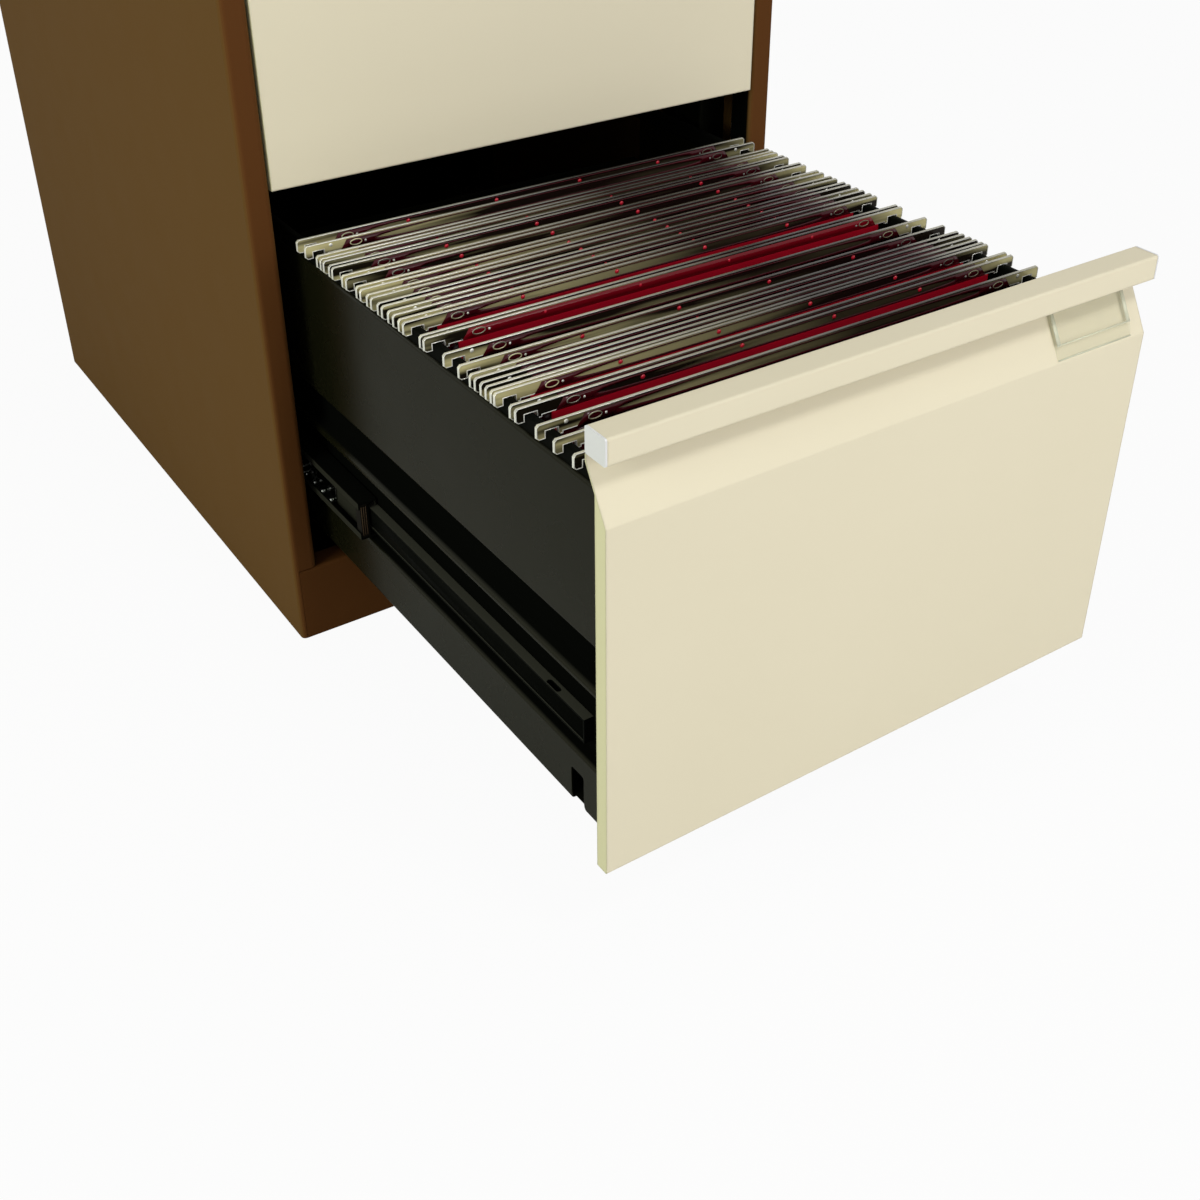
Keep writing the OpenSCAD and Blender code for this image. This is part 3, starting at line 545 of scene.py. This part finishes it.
def add_sleeves(group):
    """The welded hem of film in front of each bar; a window shows the steel, but not on the widest file's
    rear bar.
    """
    windowed = bmesh.new()
    plain = bmesh.new()
    columns = 72
    weld = 0.01
    top = bar_top(group)
    for (_, gap), pair in zip(FILES[group], bar_places(group)):
        for rear, y in enumerate(pair):
            face = y - (BAR_THICK / 2 + SLEEVE_OUT) * MM
            whole = rear and gap == WIDEST_FILE
            bm = plain if whole else windowed
            rows = [[], [], [], []]
            for c in range(columns + 1):
                s = -1 + 2 * c / columns
                x = s * SLEEVE_END
                half = 0.0 if whole else window_half(x)
                drops = (SLEEVE_FOOT, WINDOW_MIDDLE + half, WINDOW_MIDDLE - half, SLEEVE_TOP)
                for row, drop in zip(rows, drops):
                    up = (SLEEVE_FOOT - drop) / (SLEEVE_FOOT - SLEEVE_TOP)
                    swell = SLEEVE_SWELL * math.sin(math.pi * up)
                    place = (x - s * SLEEVE_SLANT * up) * MM
                    row.append(bm.verts.new((place, face - swell * MM, top - drop * MM)))
            quads(bm, rows[:2])
            quads(bm, rows[2:])
            if whole:
                quads(bm, rows[1:3])
    for name, bm, finish in (("film_sleeves", windowed, pocket_film), ("plain_sleeve", plain, bright_film)):
        if not bm.verts:
            bm.free()
            continue
        bmesh.ops.remove_doubles(bm, verts=bm.verts, dist=weld * MM)
        thicken(piece(f"{group}_{name}", bm, finish, f"{group}_files"), SLEEVE_THICK)


def add_eyelets(group):
    """The oval welds that fix each sleeve near its ends."""
    bm = bmesh.new()
    eye_x = 164.0
    eye_half = 4.6
    eye_tall = 2.1
    wire = 0.4
    points = 16
    for pair in bar_places(group):
        for y in pair:
            face = y - (BAR_THICK / 2 + SLEEVE_OUT + SLEEVE_SWELL) * MM
            for side in (-1, 1):
                path = []
                for k in range(points):
                    turn = 2 * math.pi * k / points
                    x = side * eye_x + eye_half * math.cos(turn)
                    drop = WINDOW_MIDDLE + eye_tall * math.sin(turn)
                    path.append(Vector((x * MM, face, bar_top(group) - drop * MM)))
                wire_loop(bm, path, wire * MM)
    piece(f"{group}_sleeve_welds", bm, bar_steel, f"{group}_files")


def add_heads(group, name, bars, places_mm, drop_mm, radius_mm, height_mm, out_mm, finish):
    """A row of round heads on the front face of some of the bars: 0 is a file's front bar, 1 its rear bar."""
    bm = bmesh.new()
    for pair in bar_places(group):
        for which in bars:
            face = pair[which] - (BAR_THICK / 2 + out_mm) * MM
            for x in places_mm:
                centre = Vector((x * MM, face, bar_top(group) - drop_mm * MM))
                dome(bm, centre, radius_mm * MM, height_mm * MM)
    piece(f"{group}_{name}", bm, finish, f"{group}_files")


def add_pockets(group):
    """The film pockets: each sheet hangs from its bar, waves a little and turns round the pocket's floor."""
    low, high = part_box(f"{group}_file_pockets")
    tall = high.z - low.z
    columns = 40
    drops = 14
    floor = 1.6 * MM
    film = 0.5
    corner_start = 0.9
    corner_cut = 7.0 * MM
    waves = 9.0
    wave_shift = 1.7
    wave_share = 0.06
    end_lift = 0.02
    bm = bmesh.new()
    for index, (front, rear) in enumerate(bar_places(group)):
        middle = (front + rear) / 2
        profile = [(front, middle - floor, i / drops) for i in range(drops + 1)]
        profile += [(rear, middle + floor, i / drops) for i in range(drops, -1, -1)]
        rows = []
        for hang, foot, t in profile:
            row = []
            for c in range(columns + 1):
                s = -1 + 2 * c / columns
                ease = t * t * (3 - 2 * t)
                wave = math.sin(waves * s + wave_shift * index) * math.sin(math.pi * t)
                y = hang + (foot - hang) * ease + wave_share * (rear - front) * wave
                corner = max(0.0, (abs(s) - corner_start) / (1 - corner_start)) ** 2
                z = high.z - corner_cut * corner * (1 - t) - tall * t * (1 - end_lift * abs(s) ** 3)
                row.append(bm.verts.new((s * high.x, y, z)))
            rows.append(row)
        quads(bm, rows)
    made = piece(f"{group}_pockets", bm, pocket_film, f"{group}_files")
    thicken(made, film)
    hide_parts(f"{group}_file_pockets")


def ridge(bm, start, end, side, out, half, height):
    """A ridge with a round back that runs from start to end on a surface that looks along out."""
    steps = 6
    rows = []
    for point in (start, end):
        row = []
        for k in range(steps + 1):
            turn = math.pi * k / steps
            row.append(bm.verts.new(point + side * half * math.cos(turn) + out * height * math.sin(turn)))
        rows.append(row)
    quads(bm, rows, close=True)
    bm.faces.new(rows[0])
    bm.faces.new(list(reversed(rows[1])))


# The label holder's slope and sizes in mm, as in the part's source
HOLDER_SLOPE = Vector((0, 18.5, 33.0)).normalized()
HOLDER_OUT = Vector((0, -HOLDER_SLOPE.z, HOLDER_SLOPE.y))
HOLDER_TALL = 31.0
HOLDER_THICK = 2.5
HOLDER_WEDGE = 10.0
# The ribs at its ends and the lines along its fold and its bottom edge, in mm
RIB_HALF = 1.7
RIB_HEIGHT = 0.5
LINE_HALF = 0.5
LINE_HEIGHT = 0.3
EDGE_LIFT = 0.2


def add_holder_ribs(drawer):
    """The thick moulded ends of a label holder, the fold over its wedge and its bottom edge, in paler styrene
    as painted highlights.
    """
    low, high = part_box(f"{drawer}_label_holder")
    foot = Vector((0, high.y - HOLDER_SLOPE.y * HOLDER_TALL * MM, low.z))
    face = foot + HOLDER_OUT * HOLDER_THICK * MM
    across = Vector((1, 0, 0))
    bm = bmesh.new()
    for x in (low.x + RIB_HALF * MM, high.x - RIB_HALF * MM):
        bottom = face + across * x + HOLDER_SLOPE * HOLDER_WEDGE * MM
        top = face + across * x + HOLDER_SLOPE * HOLDER_TALL * MM
        ridge(bm, bottom, top, across, HOLDER_OUT, RIB_HALF * MM, RIB_HEIGHT * MM)
    fold = face + HOLDER_SLOPE * HOLDER_WEDGE * MM
    edge = foot + HOLDER_OUT * EDGE_LIFT * MM + HOLDER_SLOPE * LINE_HALF * MM
    for line in (fold, edge):
        ridge(bm, line + across * low.x, line + across * high.x, HOLDER_SLOPE, HOLDER_OUT,
              LINE_HALF * MM, LINE_HEIGHT * MM)
    piece(f"{drawer}_holder_ribs", bm, styrene_edge, f"{drawer}_drawer")


def add_bumper_ribs(drawer):
    """Upright ribs on the front of each slide's end bumper."""
    low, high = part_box(f"{drawer}_slide_bumpers")
    bm = bmesh.new()
    margin = 2 * MM
    ribs = 3
    first = 1.2
    pitch = 1.7
    half = 0.45
    height = 0.5
    for side in (-1, 1):
        for k in range(ribs):
            x = side * (high.x - (first + k * pitch) * MM)
            ridge(bm, Vector((x, low.y, low.z + margin)), Vector((x, low.y, high.z - margin)),
                  Vector((1, 0, 0)), Vector((0, -1, 0)), half * MM, height * MM)
    piece(f"{drawer}_bumper_ribs", bm, rib_plastic, f"{drawer}_slides")


def add_rail_shade_strips(drawer):
    """A black strip over the open side of each channel rail on the drawer, as painted shade inside the
    channel.
    """
    bm = bmesh.new()
    wall = 1.6 * MM
    inset = 0.6 * MM
    for side, sign in (("left", -1), ("right", 1)):
        low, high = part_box(f"{drawer}_{side}_drawer_rail")
        outer = sign * (max(abs(low.x), abs(high.x)) - inset)
        middle = (low.z + high.z) / 2
        ridge(bm, Vector((outer, low.y + wall, middle)), Vector((outer, high.y, middle)),
              Vector((0, 0, 1)), Vector((sign, 0, 0)), (high.z - low.z) / 2 - wall, inset / 2)
    piece(f"{drawer}_rail_shade_strips", bm, black_enamel, f"{drawer}_drawer")


for drawer in ("lower", "upper"):
    add_holder_ribs(drawer)
    add_bumper_ribs(drawer)
    add_rail_shade_strips(drawer)

# Where the heads sit along a bar, in mm from its middle
STUD_X = (-114, -38, 38, 114)
PIN_X = (-156.5, 156.5)
RIVET_X = (-183.5, 183.5)
for group in FILES:
    add_pockets(group)
    add_bar_rims(group)
    add_sleeves(group)
    add_eyelets(group)
    add_heads(group, "film_studs", bars=(1,), places_mm=STUD_X, drop_mm=4.2, radius_mm=1.7, height_mm=1.1,
              out_mm=0.0, finish=stud_plastic)
    # The sleeve pins and rivets are near-white steel, as painted glints.
    add_heads(group, "sleeve_pins", bars=(0, 1), places_mm=PIN_X, drop_mm=4.8, radius_mm=0.9, height_mm=0.7,
              out_mm=SLEEVE_OUT + SLEEVE_SWELL, finish=highlight_steel)
    add_heads(group, "bar_rivets", bars=(0,), places_mm=RIVET_X, drop_mm=2.8, radius_mm=1.5, height_mm=0.8,
              out_mm=0.0, finish=highlight_steel)


# Studio: white floor and surroundings, soft lamps, camera

# Kinds of ray that see the studio as white; other light gets the floor's paint and the lesser fill
SEEN = ("Is Camera Ray", "Is Transmission Ray")
MIRRORED = ("Is Glossy Ray",)
FLOOR_GLOW = 0.95
FILL_LIGHT = 0.35
FLOOR_HALF = 8.0
FLOOR_DROP = 0.2


def share_of(tree, kinds):
    """One for rays of these kinds, and none for other light."""
    path = add(tree, "ShaderNodeLightPath")
    share = path.outputs[kinds[0]]
    for kind in kinds[1:]:
        share = add(tree, "ShaderNodeMath", {0: share, 1: path.outputs[kind]}, operation="MAXIMUM").outputs[0]
    return share


def studio_floor():
    """White painted studio floor that keeps the object's shadow."""
    made, tree, shader, _ = start("white_studio_floor", Base_Color=linear("#C6C6C4"), Roughness=0.9)
    share = add(tree, "ShaderNodeMath", {0: share_of(tree, SEEN), 1: FLOOR_GLOW}, operation="MULTIPLY")
    glow = add(tree, "ShaderNodeEmission", {"Color": (1, 1, 1, 1), "Strength": 1.0})
    mixed = add(tree, "ShaderNodeMixShader", {
        "Fac": share.outputs[0], 1: shader.outputs["BSDF"], 2: glow.outputs["Emission"]})
    tree.links.new(mixed.outputs["Shader"], tree.nodes["Material Output"].inputs["Surface"])
    return made


def build_studio():
    """A wide floor just under the cabinet, and an even white surround."""
    bm = bmesh.new()
    bmesh.ops.create_grid(bm, x_segments=1, y_segments=1, size=FLOOR_HALF)
    mesh = bpy.data.meshes.new("studio_floor")
    bm.to_mesh(mesh)
    bm.free()
    mesh.materials.append(studio_floor())
    floor = bpy.data.objects.new("studio_floor", mesh)
    floor.location.z = -FLOOR_DROP * MM
    bpy.context.scene.collection.objects.link(floor)

    world = bpy.data.worlds.new("white_studio")
    bpy.context.scene.world = world
    world.use_nodes = True
    tree = world.node_tree
    tree.nodes.clear()
    strength = add(tree, "ShaderNodeMapRange", {
        "Value": share_of(tree, SEEN + MIRRORED), "To Min": FILL_LIGHT, "To Max": 1.0})
    light = add(tree, "ShaderNodeBackground", {
        "Color": (1, 1, 1, 1), "Strength": strength.outputs["Result"]})
    end = add(tree, "ShaderNodeOutputWorld")
    tree.links.new(light.outputs["Background"], end.inputs["Surface"])


def lamp(name, place, aim, size, power, colour=(1.0, 1.0, 1.0)):
    """A square softbox that looks at a point."""
    data = bpy.data.lights.new(name, "AREA")
    data.color = colour
    data.shape = "SQUARE"
    data.size = size
    data.energy = power
    made = bpy.data.objects.new(name, data)
    made.location = place
    made.rotation_euler = (Vector(aim) - Vector(place)).to_track_quat("-Z", "Y").to_euler()
    bpy.context.scene.collection.objects.link(made)


def build_camera():
    """The photograph's viewing angle: front left, from above."""
    down = 31.77
    turn = 34.01
    data = bpy.data.cameras.new("camera")
    data.sensor_width = 36.0
    data.lens = 45.4
    data.shift_x = -0.0112
    data.shift_y = -0.0877
    made = bpy.data.objects.new("camera", data)
    made.location = (-0.58406, -1.28876, 0.76429)
    made.rotation_euler = (math.radians(90 - down), 0, math.radians(-turn))
    bpy.context.scene.collection.objects.link(made)
    bpy.context.scene.camera = made


build_studio()
lamp("front_softbox", place=(0.6, -3.2, 0.9), aim=(0, -0.4, 0.35), size=1.6, power=30.5)
lamp("high_softbox", place=(0.2, -2.05, 2.55), aim=(0, -0.7, 0.3), size=0.5, power=18.5)
lamp("left_softbox", place=(-2.6, -0.8, 1.25), aim=(0, -0.2, 0.35), size=1.4, power=36,
     colour=(0.95, 1.0, 0.86))
build_camera()
bpy.context.scene.view_settings.view_transform = "Standard"
